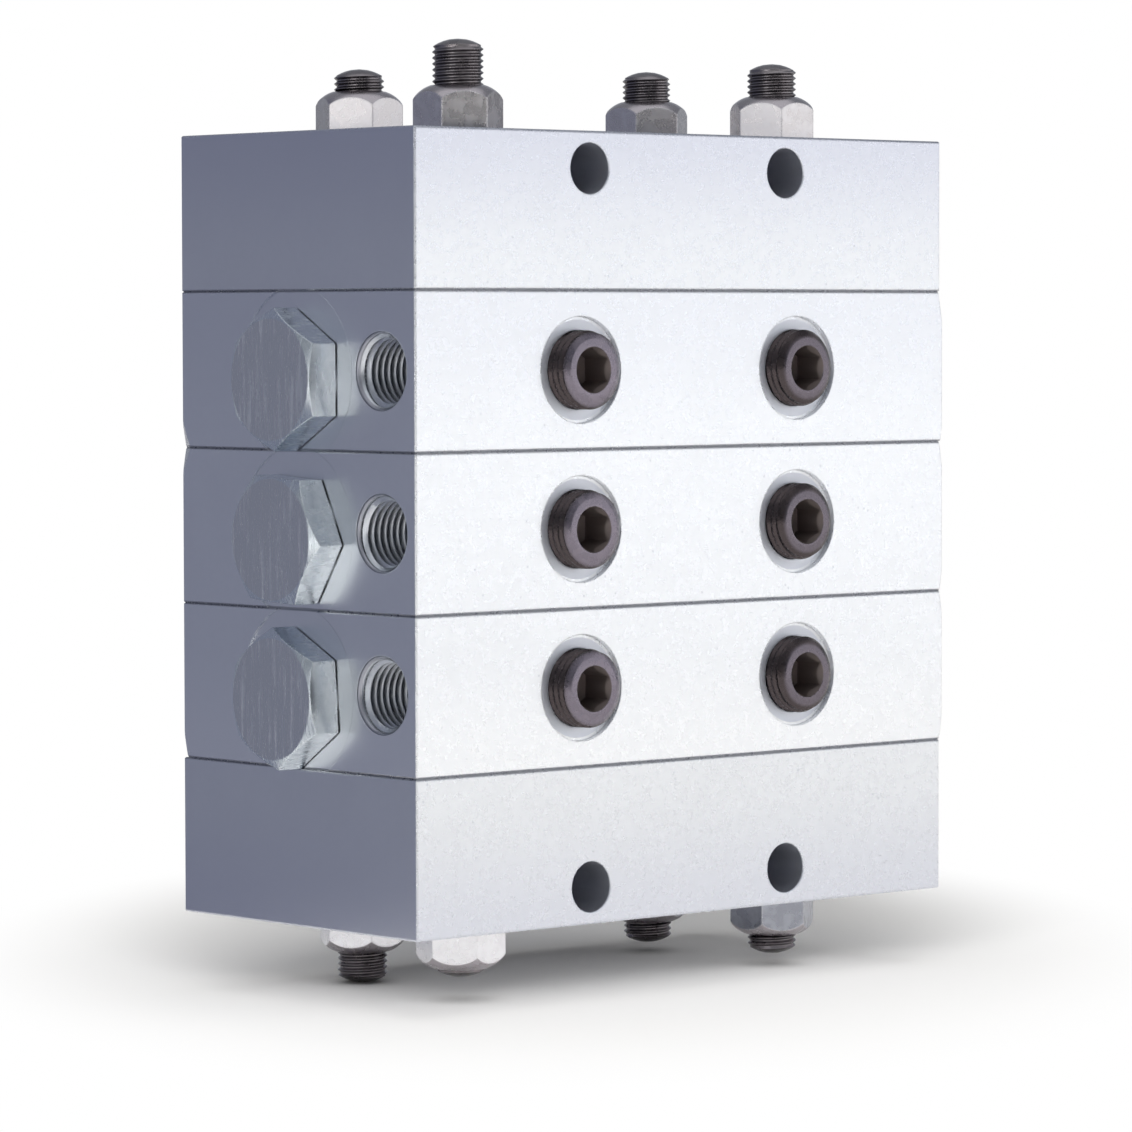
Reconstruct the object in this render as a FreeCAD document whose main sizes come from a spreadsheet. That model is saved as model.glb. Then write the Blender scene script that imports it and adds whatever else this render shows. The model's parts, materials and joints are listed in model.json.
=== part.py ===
import FreeCAD, Part
import math
import os

import Sketcher

# Lubricant divider block: a stack of plated steel blocks clamped by four tie rods.
# Each working section between the inlet block and the end block holds a metering
# piston in a cross bore that is closed by a hexagon plug at either end.
# Frame: X to the right along the front face, Y away from the viewer, Z up.
# Origin: centre of the mounting hole pattern, on the back face.

SIZES = (
    # blocks
    ("block_length", 130.97, "inlet and end block, left to right"),
    ("section_length", 131.76, "working section, flush with the others on the left"),
    ("block_depth", 66.68, "all blocks, front to back"),
    ("block_height", 28.575, "all blocks"),
    ("edge_break", 0.4, "bevel on the long edges at the joints"),
    ("corner_break", 0.25, "bevel on the other edges"),
    # turned corner relief at both ends of a working section
    ("relief_reach", 9.73, "how far the cutter passes the corner of the side face"),
    ("relief_bite_left", 0.02, "how far inside the corner the cone starts"),
    ("relief_bite_right", 1.97, "how far inside the corner the cone starts"),
    ("relief_left_slope", 0.43, "depth per radius"),
    ("relief_right_slope", 0.5, "depth per radius"),
    ("relief_forward_left", 1.0, "cone axis in front of the piston bore"),
    ("relief_forward_right", 0.0, "cone axis in front of the piston bore"),
    ("relief_rise_left_top", 3.0, "cone axis over the middle of the section"),
    ("relief_rise_left_middle", -3.0, "cone axis over the middle of the section"),
    ("relief_rise_left_bottom", 3.0, "cone axis over the middle of the section"),
    ("relief_rise_right_top", -1.6, "cone axis over the middle of the section"),
    ("relief_rise_right_middle", -0.5, "cone axis over the middle of the section"),
    ("relief_rise_right_bottom", 0.0, "cone axis over the middle of the section"),
    # piston bore and its two closed ends
    ("bore_drop", 1.59, "bore axis under the middle of the section"),
    ("piston_bore", 12.7, "bore diameter"),
    ("closure_spot_drop", 0.79, "spotface axis under the middle of the section"),
    ("closure_spot_dia", 31.75, "spotface under the hexagon head"),
    ("closure_spot_depth", 0.4, "spotface depth"),
    ("closure_thread", 19.05, "tapped hole for the closure plug"),
    ("closure_hole_depth", 13.5, "tapped hole, from the spotface"),
    ("closure_seat_dia", 20.6, "mouth of the seal seat"),
    ("closure_seat_depth", 2.4, "depth of the seal seat"),
    # closure plugs and their seals
    ("head_flats", 22.225, "hexagon head across flats"),
    ("head_height", 6.15, "hexagon head"),
    ("washer_face_dia", 21.6, "turned face that the head seats on"),
    ("washer_face_height", 0.25, "turned face under the hexagon"),
    ("head_face", 21.8, "flat end of the head, inside the chamfer"),
    ("head_chamfer_slope", 0.58, "depth of the head chamfer per radius"),
    ("shank_length", 12.0, "threaded shank under the head"),
    ("shank_bevel", 0.8, "bevel on the inner end of the shank"),
    ("neck_dia", 16.5, "groove for the seal under the head"),
    ("neck_length", 2.6, "groove for the seal under the head"),
    ("closure_seal_section", 1.5, "seal ring section"),
    ("thread_gap", 0.03, "radial gap of a plug in its tapped hole"),
    ("head_left_top_angle", 0.0, "turn of the head, degrees"),
    ("head_left_middle_angle", 33.5, "turn of the head, degrees"),
    ("head_left_bottom_angle", -3.8, "turn of the head, degrees"),
    ("head_right_top_angle", 12.0, "turn of the head, degrees"),
    ("head_right_middle_angle", 0.0, "turn of the head, degrees"),
    ("head_right_bottom_angle", 24.0, "turn of the head, degrees"),
    # metering pistons
    ("piston_gap", 0.02, "radial running clearance"),
    ("piston_stroke", 12.94, "full travel between the closure plugs"),
    ("piston_end_gap", 0.05, "left at each end of the travel"),
    ("piston_bevel", 0.5, "bevel on the piston ends"),
    ("centre_groove_width", 19.5, "groove that the supply gallery feeds"),
    ("side_groove_width", 9.0, "grooves towards the ends"),
    ("land_width", 10.0, "lands beside the centre groove"),
    ("groove_dia", 9.0, "bottom of the piston grooves"),
    # outlet ports in the side faces
    ("outlet_inset", 9.34, "port axis behind the front face"),
    ("outlet_mouth", 14.16, "countersink diameter"),
    ("outlet_bore", 13.3, "thread root diameter"),
    ("outlet_mouth_depth", 0.67, "countersink depth"),
    ("outlet_depth", 15.0, "tapped depth"),
    ("drill_tip_slope", 0.6, "depth of a drill point per radius"),
    ("outlet_passage", 3.2, "drilled from the port to the front passage"),
    ("outlet_passage_end", 13.2, "where it meets the front passage, behind the face"),
    # front ports, each closed by a socket plug
    ("front_port_spacing", 53.98, "port to port"),
    ("front_spot_dia", 19.24, "spotface diameter"),
    ("front_spot_depth", 1.1, "spotface depth"),
    ("front_thread", 14.26, "tapped hole diameter"),
    ("front_hole_depth", 10.8, "tapped hole, from the front face"),
    ("front_passage", 5.0, "drilled on to the piston bore"),
    ("socket_plug_length", 12.6, "whole plug"),
    ("socket_plug_face", 11.3, "flat ring around the socket"),
    ("socket_plug_bevel", 0.95, "length of the end bevel"),
    ("socket_plug_root_bevel", 0.8, "bevel on the inner end"),
    ("proud_left", 3.4, "left plug in front of the face"),
    ("proud_right", 2.8, "right plug in front of the face"),
    ("socket_flats", 7.94, "hexagon socket across flats"),
    ("socket_depth", 6.4, "socket depth"),
    ("socket_mouth", 9.3, "round lead-in of the socket"),
    ("socket_mouth_depth", 1.3, "depth of the lead-in"),
    # drilled ways between the blocks, and their seals
    ("gallery_dia", 5.2, "supply gallery, down the middle of the stack"),
    ("transfer_dia", 3.6, "transfer passages beside the gallery"),
    ("transfer_spacing", 38.0, "transfer passage to transfer passage"),
    ("recess_dia", 9.6, "seal recess in the top face of a block"),
    ("recess_depth", 1.4, "seal recess"),
    ("joint_seal_section", 1.36, "seal ring section"),
    ("seal_gap", 0.02, "seal ring inside its recess or seat"),
    ("end_gallery_depth", 15.0, "blind end of the ways in the end block"),
    # inlet port in the top face
    ("inlet_mouth", 17.8, "countersink diameter"),
    ("inlet_bore", 16.9, "thread root diameter"),
    ("inlet_mouth_depth", 0.7, "countersink depth"),
    ("inlet_depth", 14.5, "tapped depth"),
    # mounting holes through the inlet and end blocks
    ("mount_spacing", 48.8, "hole to hole along X"),
    ("mount_edge", 6.75, "hole axis to the outer face of its block"),
    ("mount_hole", 9.2, "hole diameter"),
    ("mount_bevel", 0.15, "bevel at both mouths"),
    # tie rods
    ("rod_dia", 9.25, "over the thread crests"),
    ("rod_overhang", 26.725, "rod outside the stack, both domed ends together"),
    ("rod_dome_radius", 8.0, "radius of the domed ends"),
    ("rod_bevel", 0.35, "bevel between the thread and the dome"),
    ("rod_hole_gap", 0.35, "radial gap of a rod in the blocks"),
    ("rod_front_spacing", 78.4, "front pair, rod to rod"),
    ("rod_front_inset", 19.05, "front pair, behind the front face"),
    ("rod_rear_spacing", 72.2, "rear pair, rod to rod"),
    ("rod_rear_inset", 15.88, "rear pair, before the back face"),
    ("drop_front_left", 10.0, "rod end under the stack"),
    ("drop_front_right", 12.1, "rod end under the stack"),
    ("drop_rear_left", 14.2, "rod end under the stack"),
    ("drop_rear_right", 12.5, "rod end under the stack"),
    # hexagon nuts
    ("nut_flats", 14.29, "across flats"),
    ("nut_height", 8.33, "whole nut"),
    ("nut_crown_radius", 6.0, "rounding of the crown on the outer end"),
    ("nut_crown_depth", 2.6, "crown, measured down the corners"),
    ("nut_face", 9.9, "flat ring left at the outer end"),
    ("nut_gap", 0.02, "radial gap on the rod"),
    ("nut_top_front_left_angle", 28.7, "nut corner from +X, degrees"),
    ("nut_top_front_right_angle", 59.5, "nut corner from +X, degrees"),
    ("nut_top_rear_left_angle", 8.2, "nut corner from +X, degrees"),
    ("nut_top_rear_right_angle", 33.4, "nut corner from +X, degrees"),
    ("nut_bottom_front_left_angle", 11.1, "nut corner from +X, degrees"),
    ("nut_bottom_front_right_angle", 33.0, "nut corner from +X, degrees"),
    ("nut_bottom_rear_left_angle", 2.3, "nut corner from +X, degrees"),
    ("nut_bottom_rear_right_angle", 20.0, "nut corner from +X, degrees"),
)

SECTIONS = ("top", "middle", "bottom")
SIDES = ("left", "right")
ROWS = ("front", "rear")
AXIS_X = FreeCAD.Vector(1, 0, 0)
AXIS_Y = FreeCAD.Vector(0, 1, 0)
AXIS_Z = FreeCAD.Vector(0, 0, 1)

# Where a turned cut goes in, as the turn that carries the sketch's X axis that way.
INTO = {
    "right": FreeCAD.Rotation(),
    "left": FreeCAD.Rotation(AXIS_Z, 180),
    "back": FreeCAD.Rotation(AXIS_Z, 90),
    "down": FreeCAD.Rotation(AXIS_Y, 90),
}


def make_sheet(doc):
    """Put every driving size in its own cell, with its name as the alias."""
    sheet = doc.addObject("Spreadsheet::Sheet", "Sizes")
    for row, (alias, number, meaning) in enumerate(SIZES, start=1):
        sheet.set(f"A{row}", meaning)
        sheet.set(f"B{row}", str(number))
        sheet.setAlias(f"B{row}", alias)
    doc.recompute()
    return sheet


def size(name):
    """Expression text for one cell of the sheet."""
    return f"Sizes.{name}"


def bind(item, **expressions):
    """Bind properties of an object to expressions over the sheet."""
    for name, expression in expressions.items():
        item.setExpression(name, expression)


def place(item, x, y, z, rotation=FreeCAD.Rotation()):
    """Give a sub-part its rotation, and its position as three expressions."""
    item.Placement = FreeCAD.Placement(FreeCAD.Vector(), rotation)
    for axis, expression in (("x", x), ("y", y), ("z", z)):
        item.setExpression(f".Placement.Base.{axis}", expression)


def number_of(item, expression):
    """Value of an expression as a plain number of millimetres or degrees."""
    result = item.evalExpression(expression)
    return float(getattr(result, "Value", result))


# Sketches

def new_body(doc, label):
    body = doc.addObject("PartDesign::Body", label)
    body.Label = label
    return body


def new_sketch(body, name, at=("0", "0", "0"), turn=FreeCAD.Rotation()):
    """Sketch on the body's own XY plane, moved and turned from there."""
    sketch = body.newObject("Sketcher::SketchObject", name)
    plane = next(item for item in body.Origin.OriginFeatures if item.Role == "XY_Plane")
    sketch.AttachmentSupport = [(plane, "")]
    sketch.MapMode = "FlatFace"
    sketch.AttachmentOffset = FreeCAD.Placement(FreeCAD.Vector(), turn)
    for axis, expression in zip("xyz", at):
        sketch.setExpression(f".AttachmentOffset.Base.{axis}", expression)
    return sketch


def fix_point(sketch, geometry, end, x, y):
    """Hold one point of a sketch at the coordinates given as expressions."""
    origin, x_axis, y_axis = -1, -1, -2
    for kind, expression, line in (("DistanceX", x, y_axis), ("DistanceY", y, x_axis)):
        if expression == "0":
            sketch.addConstraint(Sketcher.Constraint("PointOnObject", geometry, end, line))
            continue
        value = number_of(sketch, expression)
        index = sketch.addConstraint(Sketcher.Constraint(kind, origin, 1, geometry, end, value))
        sketch.setExpression(f"Constraints[{index}]", expression)


def arc_between(start, end, radius):
    """Arc that runs anticlockwise from start to end, less than half a turn."""
    middle = (start + end) * 0.5
    half = (end - start) * 0.5
    inward = FreeCAD.Vector(-half.y, half.x, 0).normalize()
    centre = middle + inward * math.sqrt(radius ** 2 - half.Length ** 2)
    circle = Part.Circle(centre, AXIS_Z, radius)
    return Part.ArcOfCircle(circle, circle.parameter(start), circle.parameter(end))


def outline(sketch, points, arcs=()):
    """Closed outline through points given as pairs of expressions.

    arcs maps a point's index to the radius expression of the arc that leaves it.
    """
    arcs = dict(arcs)
    corners = [FreeCAD.Vector(number_of(sketch, x), number_of(sketch, y), 0) for x, y in points]
    count = len(points)
    for index, corner in enumerate(corners):
        following = corners[(index + 1) % count]
        if index in arcs:
            radius = number_of(sketch, arcs[index])
            sketch.addGeometry(arc_between(corner, following, radius), False)
        else:
            sketch.addGeometry(Part.LineSegment(corner, following), False)
    for index in range(count):
        sketch.addConstraint(Sketcher.Constraint("Coincident", index, 2, (index + 1) % count, 1))
    for index, (x, y) in enumerate(points):
        fix_point(sketch, index, 1, x, y)
    for index, expression in arcs.items():
        radius = number_of(sketch, expression)
        constraint = sketch.addConstraint(Sketcher.Constraint("Radius", index, radius))
        sketch.setExpression(f"Constraints[{constraint}]", expression)


def circles(sketch, centres, diameter):
    """One circle of the same diameter at each pair of coordinate expressions."""
    radius = number_of(sketch, f"{diameter} / 2")
    for index, (x, y) in enumerate(centres):
        centre = FreeCAD.Vector(number_of(sketch, x), number_of(sketch, y), 0)
        sketch.addGeometry(Part.Circle(centre, AXIS_Z, radius), False)
        fix_point(sketch, index, 3, x, y)
        constraint = sketch.addConstraint(Sketcher.Constraint("Diameter", index, 2 * radius))
        sketch.setExpression(f"Constraints[{constraint}]", diameter)


def hexagon_points(flats):
    """Corners of a hexagon across the given flats, with corners up and down."""
    corners = []
    for step in range(6):
        angle = math.radians(90 + 60 * step)
        corners.append((hexagon_term(flats, math.cos(angle)), hexagon_term(flats, math.sin(angle))))
    return corners


def hexagon_term(flats, share):
    """One coordinate of a hexagon corner: 0 on an axis, else a share of its radius."""
    if abs(share) < 1e-9:
        return "0"
    return f"{flats} / sqrt(3) * {share:.9f}"


# Features

def changed_volume(body, feature, grows):
    """Make a feature the body's tip and insist that it adds or removes material."""
    before = body.Tip.Shape.Volume if body.Tip and not body.Tip.Shape.isNull() else 0.0
    body.Tip = feature
    body.Document.recompute()
    change = feature.Shape.Volume - before
    if (change > 0) != grows or abs(change) < 1e-6:
        raise RuntimeError(f"{body.Label}: {feature.Name} left {change} mm3")


def pad(body, sketch, length, reverse=False):
    before = body.Tip
    feature = body.newObject("PartDesign::Pad", f"Pad_{sketch.Name}")
    feature.Profile = sketch
    feature.Reversed = reverse
    bind(feature, Length=length)
    body.Tip = before
    changed_volume(body, feature, grows=True)


def pocket_through(body, sketch):
    before = body.Tip
    feature = body.newObject("PartDesign::Pocket", f"Pocket_{sketch.Name}")
    feature.Profile = sketch
    feature.Type = "ThroughAll"
    feature.Midplane = True
    body.Tip = before
    changed_volume(body, feature, grows=False)


def pocket(body, sketch, depth, reverse):
    before = body.Tip
    feature = body.newObject("PartDesign::Pocket", f"Pocket_{sketch.Name}")
    feature.Profile = sketch
    feature.Reversed = reverse
    bind(feature, Length=depth)
    body.Tip = before
    changed_volume(body, feature, grows=False)


def turned(body, name, profile, at=("0", "0", "0"), turn=FreeCAD.Rotation(), cut=True, arcs=()):
    """Turn a profile of (depth, radius) pairs about the sketch's X axis."""
    before = body.Tip
    sketch = new_sketch(body, name, at, turn)
    outline(sketch, profile, arcs)
    kind = "PartDesign::Groove" if cut else "PartDesign::Revolution"
    feature = body.newObject(kind, f"Turned_{name}")
    feature.Profile = sketch
    feature.ReferenceAxis = (sketch, ["H_Axis"])
    feature.Angle = 360
    body.Tip = before
    changed_volume(body, feature, grows=not cut)


def bevel(body, width, wanted):
    """Chamfer the edges of the tip whose unit direction and middle pass the test."""
    shape = body.Tip.Shape
    names = []
    for index, edge in enumerate(shape.Edges, start=1):
        direction = (edge.Vertexes[-1].Point - edge.Vertexes[0].Point).normalize()
        if wanted(direction):
            names.append(f"Edge{index}")
    before = body.Tip
    feature = body.newObject("PartDesign::Chamfer", "Bevel")
    feature.Base = (before, names)
    bind(feature, Size=width)
    body.Tip = before
    changed_volume(body, feature, grows=False)


def drilled(mouth, mouth_depth, bore, depth, tip=True):
    """Profile of a countersunk hole that ends in a drill point, or flat."""
    radius = f"{bore} / 2"
    profile = [("0", "0"), ("0", f"{mouth} / 2"), (mouth_depth, radius), (depth, radius)]
    end = f"{depth} + {radius} * {size('drill_tip_slope')}" if tip else depth
    profile.append((end, "0"))
    return profile


def straight(diameter, depth):
    """Profile of a plain round hole."""
    radius = f"{diameter} / 2"
    return [("0", "0"), ("0", radius), (depth, radius), (depth, "0")]


# Places that more than one piece uses

SECTION_SHIFT = f"({size('section_length')} - {size('block_length')}) / 2"
MIDDLE_DEPTH = f"(-{size('block_depth')} / 2)"
STACK_HEIGHT = f"{size('block_height')} * {len(SECTIONS) + 2}"
STACK_BASE = f"(-{STACK_HEIGHT} / 2)"


def block_base(level):
    """Height of a block's bottom face, counting blocks up from the end block."""
    return f"{STACK_BASE} + {size('block_height')} * {level}"


def section_level(section):
    """Top section highest, bottom section just over the end block."""
    return len(SECTIONS) - SECTIONS.index(section)


def rod_centre(row, side, shift="0"):
    """Rod axis in plan, as expressions, seen from a block moved by shift."""
    sign = "-" if side == "left" else ""
    x = f"{sign}{size(f'rod_{row}_spacing')} / 2 - {shift}"
    if row == "front":
        return x, f"{size('rod_front_inset')} - {size('block_depth')}"
    return x, f"-{size('rod_rear_inset')}"


# Blocks

def plain_block(doc, label, length, level, shift="0"):
    """Bevelled block with the four tie rod holes, bottom face at its own Z zero."""
    body = new_body(doc, label)
    sketch = new_sketch(body, "Plan")
    left, right, front = f"-{length} / 2", f"{length} / 2", f"-{size('block_depth')}"
    outline(sketch, [(left, "0"), (left, front), (right, front), (right, "0")])
    pad(body, sketch, size("block_height"))
    bevel(body, size("edge_break"), lambda direction: abs(direction.x) > 0.99)
    bevel(body, size("corner_break"), lambda direction: abs(direction.z) > 0.99)
    bevel(body, size("corner_break"), lambda direction: abs(direction.y) > 0.99)
    holes = new_sketch(body, "RodHoles")
    centres = [rod_centre(row, side, shift) for row in ROWS for side in SIDES]
    circles(holes, centres, f"{size('rod_dia')} + 2 * {size('rod_hole_gap')}")
    pocket_through(body, holes)
    place(body, shift, "0", block_base(level))
    return body


def seal_recess(body, name, x, diameter, depth, tip=False):
    """Vertical drilled way from the top face, with the recess for its seal ring."""
    recess, way = f"{size('recess_dia')} / 2", f"{diameter} / 2"
    profile = [("0", "0"), ("0", recess), (size("recess_depth"), recess)]
    profile += [(size("recess_depth"), way), (depth, way)]
    end = f"{depth} + {way} * {size('drill_tip_slope')}" if tip else depth
    profile.append((end, "0"))
    turned(body, name, profile, (x, MIDDLE_DEPTH, size("block_height")), INTO["down"])


def transfer_centre(side, shift="0"):
    sign = "-" if side == "left" else ""
    return f"{sign}{size('transfer_spacing')} / 2 - {shift}"


def mounting_holes(body, height):
    """Two holes from front to back, bevelled at both mouths."""
    radius = f"{size('mount_hole')} / 2"
    wide = f"{radius} + {size('mount_bevel')}"
    depth = size("block_depth")
    profile = [("0", "0"), ("0", wide), (size("mount_bevel"), radius)]
    profile += [(f"{depth} - {size('mount_bevel')}", radius), (depth, wide), (depth, "0")]
    for side in SIDES:
        sign = "-" if side == "left" else ""
        x = f"{sign}{size('mount_spacing')} / 2"
        at = (x, f"-{depth}", height)
        turned(body, f"Mounting_{side}", profile, at, INTO["back"])


def inlet_block(doc):
    body = plain_block(doc, "inlet_block", size("block_length"), len(SECTIONS) + 1)
    mounting_holes(body, f"{size('block_height')} - {size('mount_edge')}")
    port = drilled(size("inlet_mouth"), size("inlet_mouth_depth"), size("inlet_bore"), size("inlet_depth"))
    at = ("0", MIDDLE_DEPTH, size("block_height"))
    turned(body, "InletPort", port, at, INTO["down"])
    gallery = straight(size("gallery_dia"), size("block_height"))
    turned(body, "Gallery", gallery, at, INTO["down"])
    return body


def end_block(doc):
    body = plain_block(doc, "end_block", size("block_length"), 0)
    mounting_holes(body, size("mount_edge"))
    depth = size("end_gallery_depth")
    seal_recess(body, "Gallery", "0", size("gallery_dia"), depth, tip=True)
    for side in SIDES:
        seal_recess(body, f"Transfer_{side}", transfer_centre(side), size("transfer_dia"), depth, tip=True)
    return body


def section_block(doc, section):
    """Working section: piston bore, closure and outlet ports, front ports and ways."""
    level = section_level(section)
    body = plain_block(doc, f"section_block_{section}", size("section_length"), level, SECTION_SHIFT)
    for side in SIDES:
        corner_relief(body, section, side)
        closure_port(body, side)
    bore = straight(size("piston_bore"), size("section_length"))
    turned(body, "PistonBore", bore, side_mouth("left", bore_height()), INTO["right"])
    for side in SIDES:
        outlet_port(body, side)
        front_port(body, side)
    height = size("block_height")
    seal_recess(body, "Gallery", f"-{SECTION_SHIFT}", size("gallery_dia"), height)
    for side in SIDES:
        x = transfer_centre(side, SECTION_SHIFT)
        seal_recess(body, f"Transfer_{side}", x, size("transfer_dia"), height)
    return body


def bore_height():
    """Piston bore axis over the bottom face of its section."""
    return f"{size('block_height')} / 2 - {size('bore_drop')}"


def side_mouth(side, height, depth=MIDDLE_DEPTH):
    """Point on a side face of a section, at a height and a depth."""
    sign = "-" if side == "left" else ""
    return f"{sign}{size('section_length')} / 2", depth, height


def inward(side):
    return INTO["right"] if side == "left" else INTO["left"]


def corner_relief(body, section, side):
    """Cone turned off the corners, about an axis close to the middle of the side face."""
    corner = f"sqrt({size('block_depth')} ^ 2 + {size('block_height')} ^ 2) / 2"
    start = f"{corner} - {size(f'relief_bite_{side}')}"
    reach = f"{corner} + {size('relief_reach')}"
    depth = f"({size('relief_reach')} + {size(f'relief_bite_{side}')}) * {size(f'relief_{side}_slope')}"
    profile = [("0", start), ("0", reach), (depth, reach)]
    height = f"{size('block_height')} / 2 + {size(f'relief_rise_{side}_{section}')}"
    across = f"{MIDDLE_DEPTH} - {size(f'relief_forward_{side}')}"
    turned(body, f"Relief_{side}", profile, side_mouth(side, height, across), inward(side))


def closure_port(body, side):
    """Spotface, seal seat and tapped hole at one end of the piston bore."""
    floor = size("closure_spot_depth")
    spot = straight(size("closure_spot_dia"), floor)
    spot_height = f"{size('block_height')} / 2 - {size('closure_spot_drop')}"
    turned(body, f"Spotface_{side}", spot, side_mouth(side, spot_height), inward(side))
    seat, thread = f"{size('closure_seat_dia')} / 2", f"{size('closure_thread')} / 2"
    end = f"{floor} + {size('closure_hole_depth')}"
    profile = [("0", "0"), ("0", seat), (floor, seat)]
    profile += [(f"{floor} + {size('closure_seat_depth')}", thread), (end, thread), (end, "0")]
    turned(body, f"Closure_{side}", profile, side_mouth(side, bore_height()), inward(side))


def outlet_port(body, side):
    """Tapped outlet port, and the slanted passage from its end to the front passage."""
    height = f"{size('block_height')} / 2"
    depth = f"{size('outlet_inset')} - {size('block_depth')}"
    port = drilled(size("outlet_mouth"), size("outlet_mouth_depth"), size("outlet_bore"), size("outlet_depth"))
    turned(body, f"Outlet_{side}", port, side_mouth(side, height, depth), inward(side))
    start = f"{size('section_length')} / 2 - {size('outlet_depth')}"
    run = f"({start} - {size('front_port_spacing')} / 2)"
    rise = f"({size('outlet_passage_end')} - {size('outlet_inset')})"
    passage = straight(size("outlet_passage"), f"sqrt({run} ^ 2 + {rise} ^ 2)")
    slant = math.degrees(math.atan2(number_of(body, rise), number_of(body, run)))
    turn = FreeCAD.Rotation(AXIS_Z, slant if side == "left" else 180 - slant)
    sign = "-" if side == "left" else ""
    turned(body, f"Passage_{side}", passage, (f"{sign}({start})", depth, height), turn)


def front_port(body, side):
    """Spotface and tapped hole in the front face, drilled on to the piston bore."""
    spot, floor = f"{size('front_spot_dia')} / 2", size("front_spot_depth")
    thread, depth = f"{size('front_thread')} / 2", size("front_hole_depth")
    passage = f"{size('front_passage')} / 2"
    tip = f"{depth} + ({thread} - {passage}) * {size('drill_tip_slope')}"
    end = f"{size('block_depth')} / 2"
    profile = [("0", "0"), ("0", spot), (floor, spot), (floor, thread), (depth, thread)]
    profile += [(tip, passage), (end, passage), (end, "0")]
    at = (front_port_x(side), f"-{size('block_depth')}", f"{size('block_height')} / 2")
    turned(body, f"Front_{side}", profile, at, INTO["back"])


def front_port_x(side):
    sign = "-" if side == "left" else ""
    return f"{sign}{size('front_port_spacing')} / 2"


# Pieces of a working section

def closure_plug(doc, section, side):
    """Hexagon plug that closes the piston bore, with the seal groove under its head."""
    body = new_body(doc, f"closure_plug_{side}_{section}")
    flat_on = FreeCAD.Rotation(FreeCAD.Vector(1, 1, 1), 120)
    head = new_sketch(body, "Head", turn=flat_on)
    outline(head, hexagon_points(size("head_flats")))
    pad(body, head, size("head_height"), reverse=True)
    face, corner = f"{size('head_face')} / 2", f"{size('head_flats')} / sqrt(3)"
    depth = f"({corner} - {face}) * {size('head_chamfer_slope')}"
    chamfer = [("0", face), (depth, corner), ("0", corner)]
    at = (f"-{size('head_height')}", "0", "0")
    turned(body, "HeadChamfer", chamfer, at)
    washer_face = straight(size("washer_face_dia"), size("washer_face_height"))
    turned(body, "WasherFace", washer_face, cut=False)
    shank = f"{size('closure_thread')} / 2 - {size('thread_gap')}"
    neck, neck_end, end = f"{size('neck_dia')} / 2", size("neck_length"), size("shank_length")
    lead = f"{shank} - {size('shank_bevel')}"
    profile = [("0", "0"), ("0", neck), (neck_end, neck), (neck_end, shank)]
    profile += [(f"{end} - {size('shank_bevel')}", shank), (end, lead), (end, "0")]
    turned(body, "Shank", profile, (size("washer_face_height"), "0", "0"), cut=False)
    place_at_closure(body, section, side, f"(-{size('washer_face_height')})")
    return body


def place_at_closure(item, section, side, seated="0", turn=None):
    """Put a piece that points right into the closure port of one side."""
    sheet = item.Document.getObject("Sizes")
    angle = getattr(sheet, f"head_{side}_{section}_angle") if turn is None else turn
    rotation = inward(side).multiply(FreeCAD.Rotation(AXIS_X, angle))
    reach = f"({size('section_length')} / 2 - {size('closure_spot_depth')} - {seated})"
    sign = "-" if side == "left" else ""
    height = f"{block_base(section_level(section))} + {bore_height()}"
    place(item, f"{sign}{reach} + {SECTION_SHIFT}", MIDDLE_DEPTH, height, rotation)


def seal_ring(doc, label, radius, section):
    ring = doc.addObject("Part::Torus", label)
    ring.Label = label
    bind(ring, Radius1=radius, Radius2=section)
    return ring


def closure_seal(doc, section, side):
    """Seal ring on the neck of a closure plug, in the seat of its port."""
    half = f"{size('closure_seal_section')} / 2"
    radius = f"{size('neck_dia')} / 2 + {size('seal_gap')} + {half}"
    ring = seal_ring(doc, f"closure_seal_{side}_{section}", radius, half)
    seated = f"({half} + {size('seal_gap')})"
    place_at_closure(ring, section, side, seated, turn=0.0)
    ring.Placement.Rotation = FreeCAD.Rotation(AXIS_Y, 90)
    return ring


def piston_length():
    """Bore between the closure plugs, less the travel and what is left at its ends."""
    ends = f"({size('closure_spot_depth')} + {size('shank_length')} + {size('piston_end_gap')})"
    return f"({size('section_length')} - 2 * {ends} - {size('piston_stroke')})"


def piston(doc, section):
    """Metering piston in the middle of its travel: four lands and three grooves."""
    body = new_body(doc, f"piston_{section}")
    outer = f"{size('piston_bore')} / 2 - {size('piston_gap')}"
    groove, nose = f"{size('groove_dia')} / 2", f"{outer} - {size('piston_bevel')}"
    end = f"{piston_length()} / 2"
    first = f"{size('centre_groove_width')} / 2"
    second = f"{first} + {size('land_width')}"
    third = f"{second} + {size('side_groove_width')}"
    right = [(first, groove), (first, outer), (second, outer), (second, groove)]
    right += [(third, groove), (third, outer), (f"{end} - {size('piston_bevel')}", outer), (end, nose)]
    left = [(f"-({x})", radius) for x, radius in reversed(right)]
    profile = [(f"-({end})", "0")] + left + right + [(end, "0")]
    turned(body, "Spool", profile, cut=False)
    height = f"{block_base(section_level(section))} + {bore_height()}"
    place(body, SECTION_SHIFT, MIDDLE_DEPTH, height)
    return body


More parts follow.
